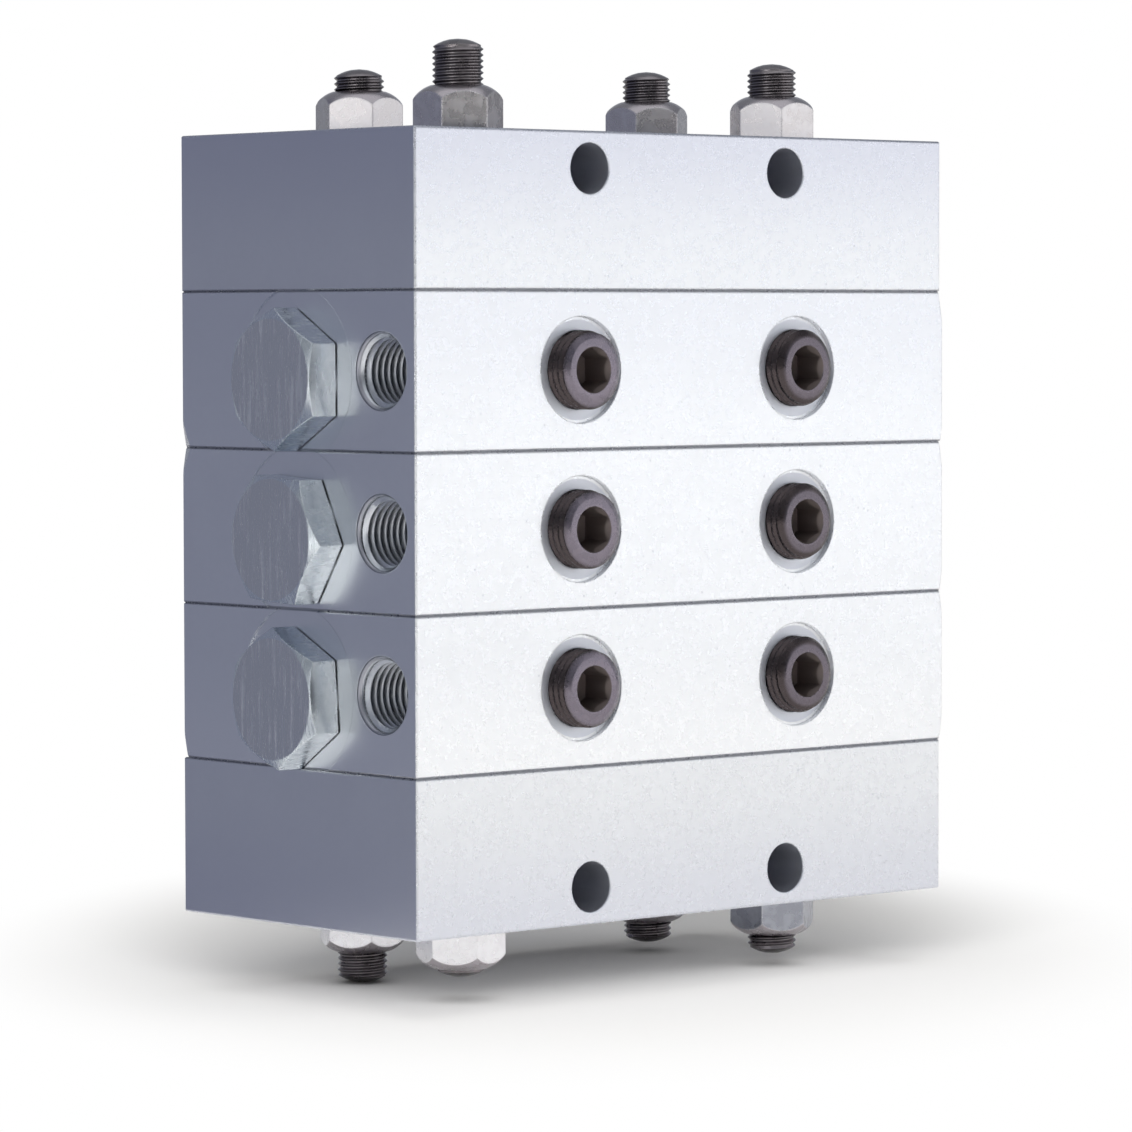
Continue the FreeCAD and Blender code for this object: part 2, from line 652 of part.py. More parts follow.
def socket_plug(doc, section, side):
    """Round plug with a hexagon socket, screwed into a front port."""
    body = new_body(doc, f"port_plug_{side}_{section}")
    outer = f"{size('front_thread')} / 2 - {size('thread_gap')}"
    face, length = f"{size('socket_plug_face')} / 2", size("socket_plug_length")
    root = size("socket_plug_root_bevel")
    profile = [("0", "0"), ("0", face), (size("socket_plug_bevel"), outer)]
    profile += [(f"{length} - {root}", outer), (length, f"{outer} - {root}"), (length, "0")]
    turned(body, "Plug", profile, cut=False)
    flat_on = FreeCAD.Rotation(FreeCAD.Vector(1, 1, 1), 120)
    socket = new_sketch(body, "Socket", turn=flat_on)
    outline(socket, hexagon_points(size("socket_flats")))
    pocket(body, socket, size("socket_depth"), reverse=True)
    mouth = f"{size('socket_mouth')} / 2"
    lead_in = [("0", "0"), ("0", mouth), (size("socket_mouth_depth"), f"{size('socket_flats')} / 2")]
    lead_in.append((size("socket_mouth_depth"), "0"))
    turned(body, "LeadIn", lead_in)
    front = f"-{size('block_depth')} - {size(f'proud_{side}')}"
    height = f"{block_base(section_level(section))} + {size('block_height')} / 2"
    place(body, f"{front_port_x(side)} + {SECTION_SHIFT}", front, height, INTO["back"])
    return body


def joint_seals(doc, level):
    """Three seal rings in the top face of one block: supply way and transfer ways."""
    half = f"{size('joint_seal_section')} / 2"
    radius = f"{size('recess_dia')} / 2 - {size('seal_gap')} - {half}"
    height = f"{block_base(level + 1)} - {size('recess_depth')} / 2"
    label = f"joint_seals_{level + 1}"
    rings = []
    for x in ("0", transfer_centre("left"), transfer_centre("right")):
        ring = seal_ring(doc, f"{label}_ring", radius, half)
        place(ring, x, MIDDLE_DEPTH, height)
        rings.append(ring)
    group = doc.addObject("Part::Compound", label)
    group.Label = label
    group.Links = rings
    return group


# Tie rods and nuts

def tie_rod(doc, row, side):
    """Rod over the whole stack, with domed ends."""
    body = new_body(doc, f"tie_rod_{row}_{side}")
    radius, bevel = f"{size('rod_dia')} / 2", size("rod_bevel")
    length = f"({STACK_HEIGHT} + {size('rod_overhang')})"
    rim = f"({radius} - {bevel})"
    crown = size("rod_dome_radius")
    dome = f"({crown} - sqrt({crown} ^ 2 - {rim} ^ 2))"
    profile = [("0", "0"), (length, "0"), (f"{length} - {dome}", rim)]
    profile += [(f"{length} - {dome} - {bevel}", radius), (f"{dome} + {bevel}", radius), (dome, rim)]
    arcs = {1: crown, 5: crown}
    turned(body, "Rod", profile, cut=False, arcs=arcs)
    x, y = rod_centre(row, side)
    base = f"{STACK_BASE} - {size(f'drop_{row}_{side}')}"
    place(body, x, y, base, FreeCAD.Rotation(AXIS_Y, -90))
    return body


def hex_nut(doc, end, row, side):
    """Hexagon nut with a rounded crown on the end that faces away from the stack."""
    body = new_body(doc, f"{end}_nut_{row}_{side}")
    corner_on = FreeCAD.Rotation(AXIS_Z, 90)
    blank = new_sketch(body, "Blank", turn=corner_on)
    outline(blank, hexagon_points(size("nut_flats")))
    pad(body, blank, size("nut_height"))
    face, corner = f"{size('nut_face')} / 2", f"{size('nut_flats')} / sqrt(3)"
    crown = [(size("nut_crown_depth"), corner), ("0", face), ("0", corner)]
    at = ("0", "0", size("nut_height"))
    turned(body, "Crown", crown, at, INTO["down"], arcs={0: size("nut_crown_radius")})
    hole = new_sketch(body, "Hole")
    circles(hole, [("0", "0")], f"{size('rod_dia')} + 2 * {size('nut_gap')}")
    pocket_through(body, hole)
    sheet = doc.getObject("Sizes")
    spin = FreeCAD.Rotation(AXIS_Z, getattr(sheet, f"nut_{end}_{row}_{side}_angle"))
    x, y = rod_centre(row, side)
    if end == "top":
        place(body, x, y, f"-{STACK_BASE}", spin)
    else:
        place(body, x, y, STACK_BASE, spin.multiply(FreeCAD.Rotation(AXIS_X, 180)))
    return body


# Whole part

def make_pieces(doc):
    pieces = [inlet_block(doc), end_block(doc)]
    for section in SECTIONS:
        pieces.append(section_block(doc, section))
        pieces.append(piston(doc, section))
        for side in SIDES:
            pieces.append(closure_plug(doc, section, side))
            pieces.append(closure_seal(doc, section, side))
            pieces.append(socket_plug(doc, section, side))
    for level in range(len(SECTIONS) + 1):
        pieces.append(joint_seals(doc, level))
    for row in ROWS:
        for side in SIDES:
            pieces.append(tie_rod(doc, row, side))
            pieces.append(hex_nut(doc, "top", row, side))
            pieces.append(hex_nut(doc, "bottom", row, side))
    return pieces


def check(doc, pieces):
    """Stop on any object that failed to build, and on any empty or bad shape."""
    for item in doc.Objects:
        if "Invalid" in item.State or "Error" in item.State:
            raise RuntimeError(f"{item.Name} failed: {item.State}")
    for piece in pieces:
        if piece.Shape.isNull() or not piece.Shape.isValid():
            raise RuntimeError(f"{piece.Label} has no valid shape")


def main():
    doc = FreeCAD.newDocument("DividerBlock")
    make_sheet(doc)
    pieces = make_pieces(doc)
    doc.recompute()
    check(doc, pieces)
    os.makedirs("parts", exist_ok=True)
    for piece in pieces:
        piece.Shape.exportStep(os.path.join("parts", f"{piece.Label}.step"))
        print(f"{piece.Label}: {len(piece.Shape.Solids)} solid, {piece.Shape.Volume:.1f} mm3")


main()
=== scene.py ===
import json
import math

import bmesh
import bpy
from mathutils import Matrix, Vector


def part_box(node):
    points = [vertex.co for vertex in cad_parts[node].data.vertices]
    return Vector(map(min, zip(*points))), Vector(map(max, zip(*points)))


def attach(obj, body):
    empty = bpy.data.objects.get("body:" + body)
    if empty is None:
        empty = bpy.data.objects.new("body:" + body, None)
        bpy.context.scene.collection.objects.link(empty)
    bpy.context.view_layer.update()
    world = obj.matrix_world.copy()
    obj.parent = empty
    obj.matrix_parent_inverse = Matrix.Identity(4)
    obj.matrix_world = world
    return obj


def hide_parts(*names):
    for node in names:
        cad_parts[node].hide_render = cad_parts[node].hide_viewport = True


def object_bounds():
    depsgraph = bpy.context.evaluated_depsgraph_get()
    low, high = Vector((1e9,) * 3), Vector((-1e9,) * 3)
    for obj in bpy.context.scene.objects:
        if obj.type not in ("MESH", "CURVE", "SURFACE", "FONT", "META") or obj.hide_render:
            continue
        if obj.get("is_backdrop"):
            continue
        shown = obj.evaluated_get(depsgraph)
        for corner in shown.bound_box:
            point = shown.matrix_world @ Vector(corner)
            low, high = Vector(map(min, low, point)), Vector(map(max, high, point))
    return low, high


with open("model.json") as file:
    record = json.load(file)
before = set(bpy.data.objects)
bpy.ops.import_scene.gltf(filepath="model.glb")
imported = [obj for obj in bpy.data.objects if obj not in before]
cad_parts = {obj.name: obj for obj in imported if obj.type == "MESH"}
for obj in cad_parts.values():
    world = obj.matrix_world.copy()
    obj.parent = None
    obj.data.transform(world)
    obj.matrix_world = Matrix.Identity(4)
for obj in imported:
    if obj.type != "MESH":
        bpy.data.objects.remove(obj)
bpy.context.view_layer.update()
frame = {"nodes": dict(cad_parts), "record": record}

MM = 0.001

# Camera, in the part's frame
CAMERA_PLACE = Vector((-648.8, -760.3, 36.5)) * MM
CAMERA_YAW = math.radians(41.72)
CAMERA_PITCH = math.radians(-2.65)
CAMERA_ROLL = math.radians(-0.12)
CAMERA_LENS = 165.1
CAMERA_SENSOR = 36.0
CAMERA_CLIP = (0.01, 20.0)

SECTIONS = ("top", "middle", "bottom")
SIDES = ("left", "right")
ROWS = ("front", "rear")

# Blocks: the levels of the joints repeat with their height
BLOCK_HEIGHT = 28.575 * MM
JOINT_BEVEL = 0.4 * MM
SECTION_SHIFT = 0.4 * MM
SPOTFACE_SPACING = 53.98 * MM
SPOTFACE_RADIUS = 9.0 * MM
SPOTFACE_FRONT = -60 * MM

# Tie rods: fine thread over both ends
ROD_PITCH = 25.4 / 24 * MM
ROD_THREAD_DEPTH = 0.45 * MM
ROD_THREAD_LENGTH = 32 * MM
ROD_BEVEL = 0.35 * MM
ROD_DOME_RADIUS = 8.0 * MM
ROD_DOME_RINGS = (1.0, 0.7, 0.4, 0.15)
ROD_PHASES = {
    ("front", "left"): (0.15, 0.55),
    ("front", "right"): (0.40, 0.80),
    ("rear", "left"): (0.80, 0.25),
    ("rear", "right"): (0.60, 0.10),
}

# Socket plugs in the front face
PLUG_PITCH = 25.4 / 18 * MM
PLUG_THREAD_DEPTH = 0.45 * MM
PLUG_FACE_RADIUS = 5.65 * MM
PLUG_BEVEL = 0.95 * MM
PLUG_EDGE = 0.18 * MM
PLUG_PHASES = {"left": 0.2, "right": 0.6}
SOCKET_FLATS = 7.1 * MM
SOCKET_DEPTH = 6.4 * MM
SOCKET_TIP = 0.6 * MM
SOCKET_MOUTH_RADIUS = 4.2 * MM
SOCKET_MOUTH_DEPTH = 1.3 * MM
SOCKET_MOUTH_RINGS = (0.8, 0.6, 0.4, 0.2, 0.0)

# Tapped ports
PORT_PITCH = 25.4 / 18 * MM
PORT_CREST_GAP = 0.90 * MM
PORT_MOUTH_SLOPE = 0.64
PORT_LEAD_IN_SLOPE = 0.69
PORT_START = 0.02 * MM
PORT_MOUTH_DEPTHS = {"inlet": 0.7 * MM, "outlet": 0.67 * MM}
PORT_PHASES = {"top": 0.88, "middle": 0.2, "bottom": 0.5, "port": 0.3}
WALL_GAP = 0.01 * MM

# Meshes: points around an axis, and one turn of a thread as (share of the pitch, share of the depth)
COLUMNS = 72
THREAD_FORM = ((0.0, 0.0), (0.10, 0.0), (0.44, 1.0), (0.56, 1.0), (0.90, 0.0))
MERGE_DISTANCE = 0.0005 * MM
SHARP_ANGLE = math.radians(28)

# Plate: where painted light and shade change its tone, as heights from the middle of the stack
FOOT_FADE = (-20 * MM, -42 * MM)
HEAD_FADE = (16 * MM, 40 * MM)
END_FADE = (46 * MM, 74 * MM)
END_BLOCK_TONE = 0.955

# Plate: roughness of the faces, and of what is turned or drilled in them
PLATE_ROUGHNESS = 0.285
SPOTFACE_ROUGHNESS = 0.60
HOLE_ROUGHNESS = 0.46

# Plate: bevels above and below a joint, darkened as painted shade, each as where it starts and ends over
# the joint
JOINT_UPPER = ((-0.05 * MM, 0.0), (0.30 * MM, JOINT_BEVEL))
JOINT_LOWER = ((-JOINT_BEVEL, -0.15 * MM), (-0.05 * MM, 0.0))

# Nuts: colour in the hollows and on the peaks of the mottle; the painted-light tones stand in for the
# floor's reflection, the dull shaded tones are partly painted shade
NUT_TONES = ((0.71, 0.675, 0.675), (0.78, 0.75, 0.755))
PAINTED_LIGHT_NUT_TONES = ((0.90, 0.885, 0.91), (0.97, 0.96, 0.98))
DULL_SHADED_NUT_TONES = ((0.36, 0.37, 0.42), (0.46, 0.475, 0.53))

# Plugs, rods and ports: where one tone of the steel goes over into the next; the near black thread of a
# plug is black oxide and painted shade, the dark foot of a rod is painted shade
PLUG_END_FADE = (0.3 * MM, 1.0 * MM)
ROD_FOOT_FADE = (0.0, -10 * MM)
PORT_LEAD_IN_FADE = (65.0 * MM, 65.3 * MM)

# Nodes that stay: material by the start of their names, plain plate for the rest
COATS = {
    "inlet_block": "zinc_end_block",
    "end_block": "zinc_end_block",
    "top_nut": "zinc_nut",
    "closure_plug": "zinc_plug",
    "closure_seal": "seal_rubber",
    "joint_seals": "seal_rubber",
    "port_plug": "black_steel",
    "tie_rod": "black_steel",
    "piston": "hardened_steel",
}

# Room: what the metal mirrors, brighter or darker around the named directions
ROOM_COLOUR = (0.86, 0.91, 1.0, 1.0)
ROOM_LEVEL = 0.30
ROOM_PATCHES = ((242, -0.16), (48, 0.30))
ROOM_PATCH_EDGE = (0.86, 0.96)
HORIZON_LIGHT = 1.5
HORIZON_RISE = (0.10, 0.18)
HORIZON_FALL = (0.27, 0.35)

# Floor: its shadow fades to plain white past an ellipse, and a painted contact shadow darkens it close to
# what touches it
PART_MIDDLE = Vector((0, -33 * MM, 0))
FLOOR_RADIUS = 2.5
CONTACT_REACH = 10 * MM
CONTACT_TONE = 0.22
SHADOW_FADE = (0.066, 0.125)
SHADOW_MIDDLE = (33.3 * MM, 4.4 * MM)
SHADOW_AZIMUTH = 48.3
SHADOW_STRETCH = 1.6

# Grey sweep: rows of distance, height over the floor, and the azimuths of both ends
SWEEP_COLOUR = (0.192, 0.205, 0.267, 1.0)
SWEEP_AZIMUTH = 131.0
SWEEP_LIFT = 0.5 * MM
SWEEP_ROWS = (
    (0.07, 0.0, 75, 200),
    (0.34, 0.0, 80, 188),
    (0.39, 0.02, 90, 174),
    (0.42, 0.07, 98, 168),
    (0.42, 0.32, 98, 168),
    (0.42, 0.70, 98, 168),
)

# Lamps: name, azimuth, elevation, distance, width, height, radiance, and what alone they light
LAMPS = (
    ("box_front_right", 316, 12, 1.0, 1.3, 0.9, 0.69, "metal"),
    ("box_left", 200, 6, 1.0, 0.36, 0.6, 0.95, "metal"),
    ("box_over", 250, 80, 1.2, 1.6, 1.6, 0.50, "metal"),
    ("floor_key", 224, 20, 4.0, 3.3, 1.7, 10.0, "floor"),
    ("floor_right", 315, 20, 4.0, 3.3, 1.7, 2.2, "floor"),
    ("floor_high", 224, 49, 4.0, 2.8, 2.3, 1.5, "floor"),
    ("floor_over", 250, 88, 4.0, 3.2, 3.2, 1.3, "floor"),
)


# Meshes

def linked(name, data):
    """Object with its data, in the scene."""
    holder = bpy.data.objects.new(name, data)
    bpy.context.scene.collection.objects.link(holder)
    return holder


def mesh_object(name, bm, material):
    """Object at the origin, from a mesh in the making."""
    mesh = bpy.data.meshes.new(name)
    bm.to_mesh(mesh)
    bm.free()
    mesh.materials.append(material)
    return linked(name, mesh)


class Surface:
    """Rings of points about an axis, joined into one closed mesh.

    Along is measured on the axis from the origin, and each ring has one point
    for every column, so rings of any outline can be joined.
    """

    def __init__(self, origin, axis):
        self.origin = Vector(origin)
        self.turn = Vector(axis).to_track_quat("Z", "Y").to_matrix()
        self.bm = bmesh.new()

    def point(self, along, radius, column):
        angle = 2 * math.pi * column / COLUMNS
        local = Vector((radius * math.cos(angle), radius * math.sin(angle), along))
        return self.bm.verts.new(self.origin + self.turn @ local)

    def ring(self, along, radius):
        """Ring of one radius, or of a radius that depends on the column."""
        outline = radius if callable(radius) else lambda column: radius
        return [self.point(along, outline(column), column) for column in range(COLUMNS)]

    def join(self, lower, upper):
        """Faces between two rings."""
        for column in range(COLUMNS):
            following = (column + 1) % COLUMNS
            self.bm.faces.new((lower[column], lower[following], upper[following], upper[column]))

    def tip(self, ring, along, upward):
        """Close a ring with a point on the axis."""
        centre = self.bm.verts.new(self.origin + self.turn @ Vector((0, 0, along)))
        for column in range(COLUMNS):
            pair = (ring[column], ring[(column + 1) % COLUMNS])
            self.bm.faces.new((*pair, centre) if upward else (*reversed(pair), centre))

    def thread(self, first, last, pitch, phase, radius_at):
        """Right-handed thread, cut off level by two planes.

        radius_at gives the radius for a height, a share of the thread's depth, and
        whether the point is held at one of the planes.
        """
        base = first + (phase - 2) * pitch
        grid = []
        for turn in range(int((last - first) / pitch) + 4):
            for share, depth in THREAD_FORM:
                height = base + (turn + share) * pitch
                grid.append(self.thread_row(height, depth, (first, last), pitch, radius_at))
        for index in range(len(grid) - 1):
            for column in range(COLUMNS):
                right, up = index, column + 1
                if up == COLUMNS:
                    right, up = index + len(THREAD_FORM), 0
                if right + 1 < len(grid):
                    lower = (grid[index][column], grid[right][up])
                    self.bm.faces.new((*lower, grid[right + 1][up], grid[index + 1][column]))

    def thread_row(self, height, depth, planes, pitch, radius_at):
        """One turn of points that climbs by a pitch, held between the planes."""
        row = []
        for column in range(COLUMNS):
            along = height + pitch * column / COLUMNS
            held = min(max(along, planes[0]), planes[1])
            row.append(self.point(held, radius_at(held, depth, along != held), column))
        return row

    def finished(self, name, material):
        """Object with merged points, no empty faces and smooth shading under an angle."""
        bmesh.ops.remove_doubles(self.bm, verts=self.bm.verts, dist=MERGE_DISTANCE)
        bmesh.ops.dissolve_degenerate(self.bm, edges=self.bm.edges, dist=MERGE_DISTANCE)
        loose = [vert for vert in self.bm.verts if not vert.link_faces]
        bmesh.ops.delete(self.bm, geom=loose, context="VERTS")
        bmesh.ops.recalc_face_normals(self.bm, faces=self.bm.faces)
        piece = mesh_object(name, self.bm, material)
        piece.data.polygons.foreach_set("use_smooth", [True] * len(piece.data.polygons))
        piece.data.set_sharp_from_angle(angle=SHARP_ANGLE)
        return piece


# Materials

def rgb(red, green, blue, tone=1.0):
    """Opaque colour, darker where the tone is under 1."""
    return (red * tone, green * tone, blue * tone, 1.0)


class Nodes:
    """Short names for the nodes of a material or of the world."""

    def __init__(self, owner):
        owner.use_nodes = True
        self.tree = owner.node_tree

    def add(self, kind, **settings):
        node = self.tree.nodes.new(kind)
        for key, value in settings.items():
            setattr(node, key, value)
        return node

    def link(self, source, target):
        self.tree.links.new(source, target)

    def put(self, socket, value):
        if isinstance(value, bpy.types.NodeSocket):
            self.link(value, socket)
        else:
            socket.default_value = value

    def math(self, operation, a, b=0.0):
        node = self.add("ShaderNodeMath", operation=operation)
        self.put(node.inputs[0], a)
        self.put(node.inputs[1], b)
        return node.outputs[0]

    def product(self, first, *others):
        """Product of two or more values."""
        for other in others:
            first = self.math("MULTIPLY", first, other)
        return first

    def against(self, mask):
        """1 where a mask is 0, and 0 where it is 1."""
        return self.math("SUBTRACT", 1.0, mask)

    def between(self, value, low, high, to_low=0.0, to_high=1.0, smooth=True):
        """Value taken from one range to another, and held at its ends."""
        kind = "SMOOTHSTEP" if smooth else "LINEAR"
        node = self.add("ShaderNodeMapRange", interpolation_type=kind)
        self.link(value, node.inputs["Value"])
        ends = {"From Min": low, "From Max": high, "To Min": to_low, "To Max": to_high}
        for socket, end in ends.items():
            node.inputs[socket].default_value = end
        return node.outputs["Result"]

    def within(self, distance, radius, fade):
        """1 inside a radius, 0 outside it, over a short fade."""
        return self.between(distance, radius, radius + fade, 1.0, 0.0)

    def split(self, vector):
        """X, Y and Z of a vector."""
        node = self.add("ShaderNodeSeparateXYZ")
        self.link(vector, node.inputs[0])
        return node.outputs["X"], node.outputs["Y"], node.outputs["Z"]

    def length_of(self, a, b):
        """Length of the vector with two parts."""
        return self.math("SQRT", self.math("ADD", self.product(a, a), self.product(b, b)))

    def dot(self, a, b):
        """Dot product of two vectors."""
        node = self.add("ShaderNodeVectorMath", operation="DOT_PRODUCT")
        self.put(node.inputs[0], a)
        self.put(node.inputs[1], b)
        return node.outputs["Value"]

    def mix(self, share, a, b):
        """Mix of two colours."""
        node = self.add("ShaderNodeMix", data_type="RGBA")
        self.put(node.inputs[0], share)
        self.put(node.inputs[6], a)
        self.put(node.inputs[7], b)
        return node.outputs[2]

    def mix_shaders(self, share, a, b):
        """Mix of two shaders."""
        node = self.add("ShaderNodeMixShader")
        for socket, source in zip(node.inputs, (share, a, b)):
            self.link(source, socket)
        return node.outputs[0]


class Material(Nodes):
    """Nodes of a material, with its place in the part's frame."""

    def __init__(self, name):
        self.material = bpy.data.materials.new(name)
        super().__init__(self.material)
        self.shader = self.tree.nodes["Principled BSDF"]
        self.place = self.add("ShaderNodeTexCoord").outputs["Object"]

    def normal(self):
        """Direction that the face looks in."""
        return self.add("ShaderNodeNewGeometry").outputs["Normal"]

    def stretched(self, scale):
        """Place with a scale for each axis."""
        node = self.add("ShaderNodeMapping")
        self.link(self.place, node.inputs["Vector"])
        node.inputs["Scale"].default_value = scale
        return node.outputs["Vector"]

    def noise(self, size, detail=3.0, roughness=0.5, vector=None):
        """Noise whose features are about one size, in metres."""
        node = self.add("ShaderNodeTexNoise")
        self.link(vector or self.place, node.inputs["Vector"])
        node.inputs["Scale"].default_value = 1.0 / size
        node.inputs["Detail"].default_value = detail
        node.inputs["Roughness"].default_value = roughness
        return node.outputs["Fac"]

    def streaks(self, scale, detail, roughness):
        """Noise that is stretched by a scale for each axis, in features a metre."""
        return self.noise(1.0, detail, roughness, self.stretched(scale))

    def cells(self, size):
        """Distance from the nearest of many scattered points, as a share of the size."""
        node = self.add("ShaderNodeTexVoronoi")
        self.link(self.place, node.inputs["Vector"])
        node.inputs["Scale"].default_value = 1.0 / size
        return node.outputs["Distance"]

    def edges(self, radius):
        """1 on the edges of the shape, 0 on its open faces, and the rounded normal."""
        bevel = self.add("ShaderNodeBevel", samples=4)
        bevel.inputs["Radius"].default_value = radius
        rounded = bevel.outputs["Normal"]
        return self.between(self.dot(rounded, self.normal()), 0.995, 0.90), rounded

    def hollow(self, reach, low=0.25, high=0.85):
        """1 in the open, towards 0 in grooves and holes narrower than the reach."""
        node = self.add("ShaderNodeAmbientOcclusion", samples=6)
        node.inputs["Distance"].default_value = reach
        return self.between(node.outputs["AO"], low, high)

    def sideways(self):
        """1 on faces that look along X, 0 on the others."""
        x, _y, _z = self.split(self.normal())
        return self.between(self.math("ABSOLUTE", x), 0.90, 0.97)

    def bump(self, height, depth, normal=None):
        node = self.add("ShaderNodeBump")
        self.link(height, node.inputs["Height"])
        node.inputs["Distance"].default_value = depth
        node.inputs["Strength"].default_value = 1.0
        if normal is not None:
            self.link(normal, node.inputs["Normal"])
        return node.outputs["Normal"]

    def finish(self, colour, rough, normal, metallic=1.0):
        self.link(colour, self.shader.inputs["Base Color"])
        self.link(rough, self.shader.inputs["Roughness"])
        self.link(normal, self.shader.inputs["Normal"])
        self.shader.inputs["Metallic"].default_value = metallic
        return self.material

    def surface(self, shader):
        """Use another shader than the one that a material starts with."""
        self.link(shader, self.tree.nodes["Material Output"].inputs["Surface"])
        return self.material


def off_level(n, z, share=0.0):
    """Height over the nearest level, where one comes every block height."""
    level = n.math("SUBTRACT", n.math("DIVIDE", z, BLOCK_HEIGHT), share)
    return n.product(n.math("SUBTRACT", level, n.math("ROUND", level)), BLOCK_HEIGHT)


def within_blocks(n, z, count):
    """1 up to so many block heights from the middle of the stack, 0 past them."""
    return n.math("LESS_THAN", n.math("ABSOLUTE", z), count * BLOCK_HEIGHT)


def painted_joint_shade(n, colour):
    """Painted shade: darken the bevels that meet at a joint, the upper one most."""
    _x, _y, z = n.split(n.place)
    ragged = n.between(n.noise(4.0 * MM, 2.0), 0.3, 0.7, -0.02 * MM, 0.03 * MM)
    off = n.math("ADD", off_level(n, z, 0.5), ragged)
    inner = within_blocks(n, z, 2)
    for (rise, fall), tone in ((JOINT_LOWER, rgb(0.46, 0.47, 0.50)), (JOINT_UPPER, rgb(0.50, 0.505, 0.53))):
        bevel = n.product(n.between(off, *rise), n.between(off, *fall, 1.0, 0.0))
        colour = n.mix(n.product(bevel, inner), colour, tone)
    return colour


def from_socket_axis(n):
    """Distance from the axis of the nearest socket plug."""
    x, _y, z = n.split(n.place)
    across = n.math("ABSOLUTE", n.math("SUBTRACT", x, SECTION_SHIFT))
    return n.length_of(n.math("SUBTRACT", across, SPOTFACE_SPACING / 2), off_level(n, z))


def spotface(n):
    """1 inside the spotfaces around the socket plugs, 0 elsewhere."""
    _x, y, z = n.split(n.place)
    near = n.within(from_socket_axis(n), SPOTFACE_RADIUS, 0.1 * MM)
    return n.product(near, n.math("LESS_THAN", y, SPOTFACE_FRONT), within_blocks(n, z, 1.5))


def mounting_hole(n):
    """1 on the walls of the four mounting holes, 0 elsewhere."""
    dims = next(mount["dims"] for mount in frame["record"]["mounts"] if mount["kind"] == "bolt_pattern")
    x, _y, z = n.split(n.place)
    across = n.math("SUBTRACT", n.math("ABSOLUTE", x), dims["spacing_x_mm"] / 2 * MM)
    up = n.math("SUBTRACT", n.math("ABSOLUTE", z), dims["spacing_y_mm"] / 2 * MM)
    return n.within(n.length_of(across, up), (dims["hole_r_mm"] + 0.05) * MM, 0.10 * MM)


def painted_light_by_height(n, colour, tone):
    """Painted light and shade by height: paler towards the foot of the sections as a painted reflection of
    the floor, greyer towards their head and over the end blocks as painted shade.
    """
    _x, _y, z = n.split(n.place)
    inner = within_blocks(n, z, 1.5)
    colour = n.mix(n.product(n.between(z, *FOOT_FADE), inner), colour, rgb(0.955, 0.965, 0.985))
    colour = n.mix(n.product(n.between(z, *HEAD_FADE, 0.0, 0.8), inner), colour, rgb(0.84, 0.855, 0.90))
    low, high = END_FADE
    colour = n.mix(n.between(z, -low, -high), colour, rgb(0.80, 0.815, 0.885, tone))
    return n.mix(n.between(z, low, high), colour, rgb(0.765, 0.78, 0.86, tone))


def plate_pits(n):
    """1 in a few small pits of the plate, 0 elsewhere."""
    near = n.between(n.cells(1.7 * MM), 0.10, 0.20, 1.0, 0.0)
    few = n.math("GREATER_THAN", n.noise(2.6 * MM, 2.0), 0.60)
    return n.product(near, few)


def plate_colour(n, tone, mottle, side):
    """Mottled plate, more even on the side faces."""
    low, high = rgb(0.875, 0.89, 0.925, tone), rgb(0.92, 0.935, 0.96, tone)
    colour = n.mix(n.between(mottle, 0.36, 0.62), low, high)
    colour = n.mix(n.product(side, 0.8), colour, rgb(0.90, 0.915, 0.945, tone))
    cloud = n.between(n.noise(14 * MM, 4.0, 0.6), 0.35, 0.7, 0.0, 0.2)
    return n.mix(cloud, colour, rgb(0.83, 0.84, 0.87, tone))


def zinc_block(name="zinc_block", tone=1.0):
    """Bright zinc plate over ground steel: mottled, speckled, lightly scratched."""
    n = Material(name)
    side = n.sideways()
    front = n.against(side)
    turned = spotface(n)
    mottle = n.noise(1.6 * MM, 5.0, 0.65)
    pits = n.product(plate_pits(n), front)
    lines = n.between(n.streaks((45.0, 45.0, 2200.0), 3.0, 0.6), 0.45, 0.75)
    edge, normal = n.edges(0.35 * MM)
    colour = plate_colour(n, tone, mottle, side)
    colour = n.mix(n.product(pits, 0.4), colour, rgb(0.52, 0.54, 0.60))
    # painted highlight: edges paler
    colour = n.mix(n.product(edge, 0.1), colour, rgb(0.90, 0.91, 0.93))
    # painted light and shade by height, then painted shade on the joint bevels
    colour = painted_joint_shade(n, painted_light_by_height(n, colour, tone))
    colour = n.mix(turned, colour, rgb(0.84, 0.86, 0.92))
    rough = n.product(n.between(mottle, 0.3, 0.7, -0.045, 0.045), front)
    rough = n.math("ADD", rough, PLATE_ROUGHNESS)
    rough = n.math("MAXIMUM", rough, n.product(turned, SPOTFACE_ROUGHNESS))
    rough = n.math("MAXIMUM", rough, n.product(mounting_hole(n), HOLE_ROUGHNESS))
    rough = n.math("ADD", rough, n.product(lines, 0.03, front))
    height = n.math("ADD", n.product(mottle, 0.3), n.product(lines, 0.08))
    height = n.math("SUBTRACT", height, n.product(pits, 0.8))
    height = n.product(height, n.against(turned), front)
    return n.finish(colour, rough, n.bump(height, 0.010 * MM, normal))


def zinc_end_block():
    """The same plate on the inlet and end blocks, a little greyer."""
    return zinc_block("zinc_end_block", END_BLOCK_TONE)


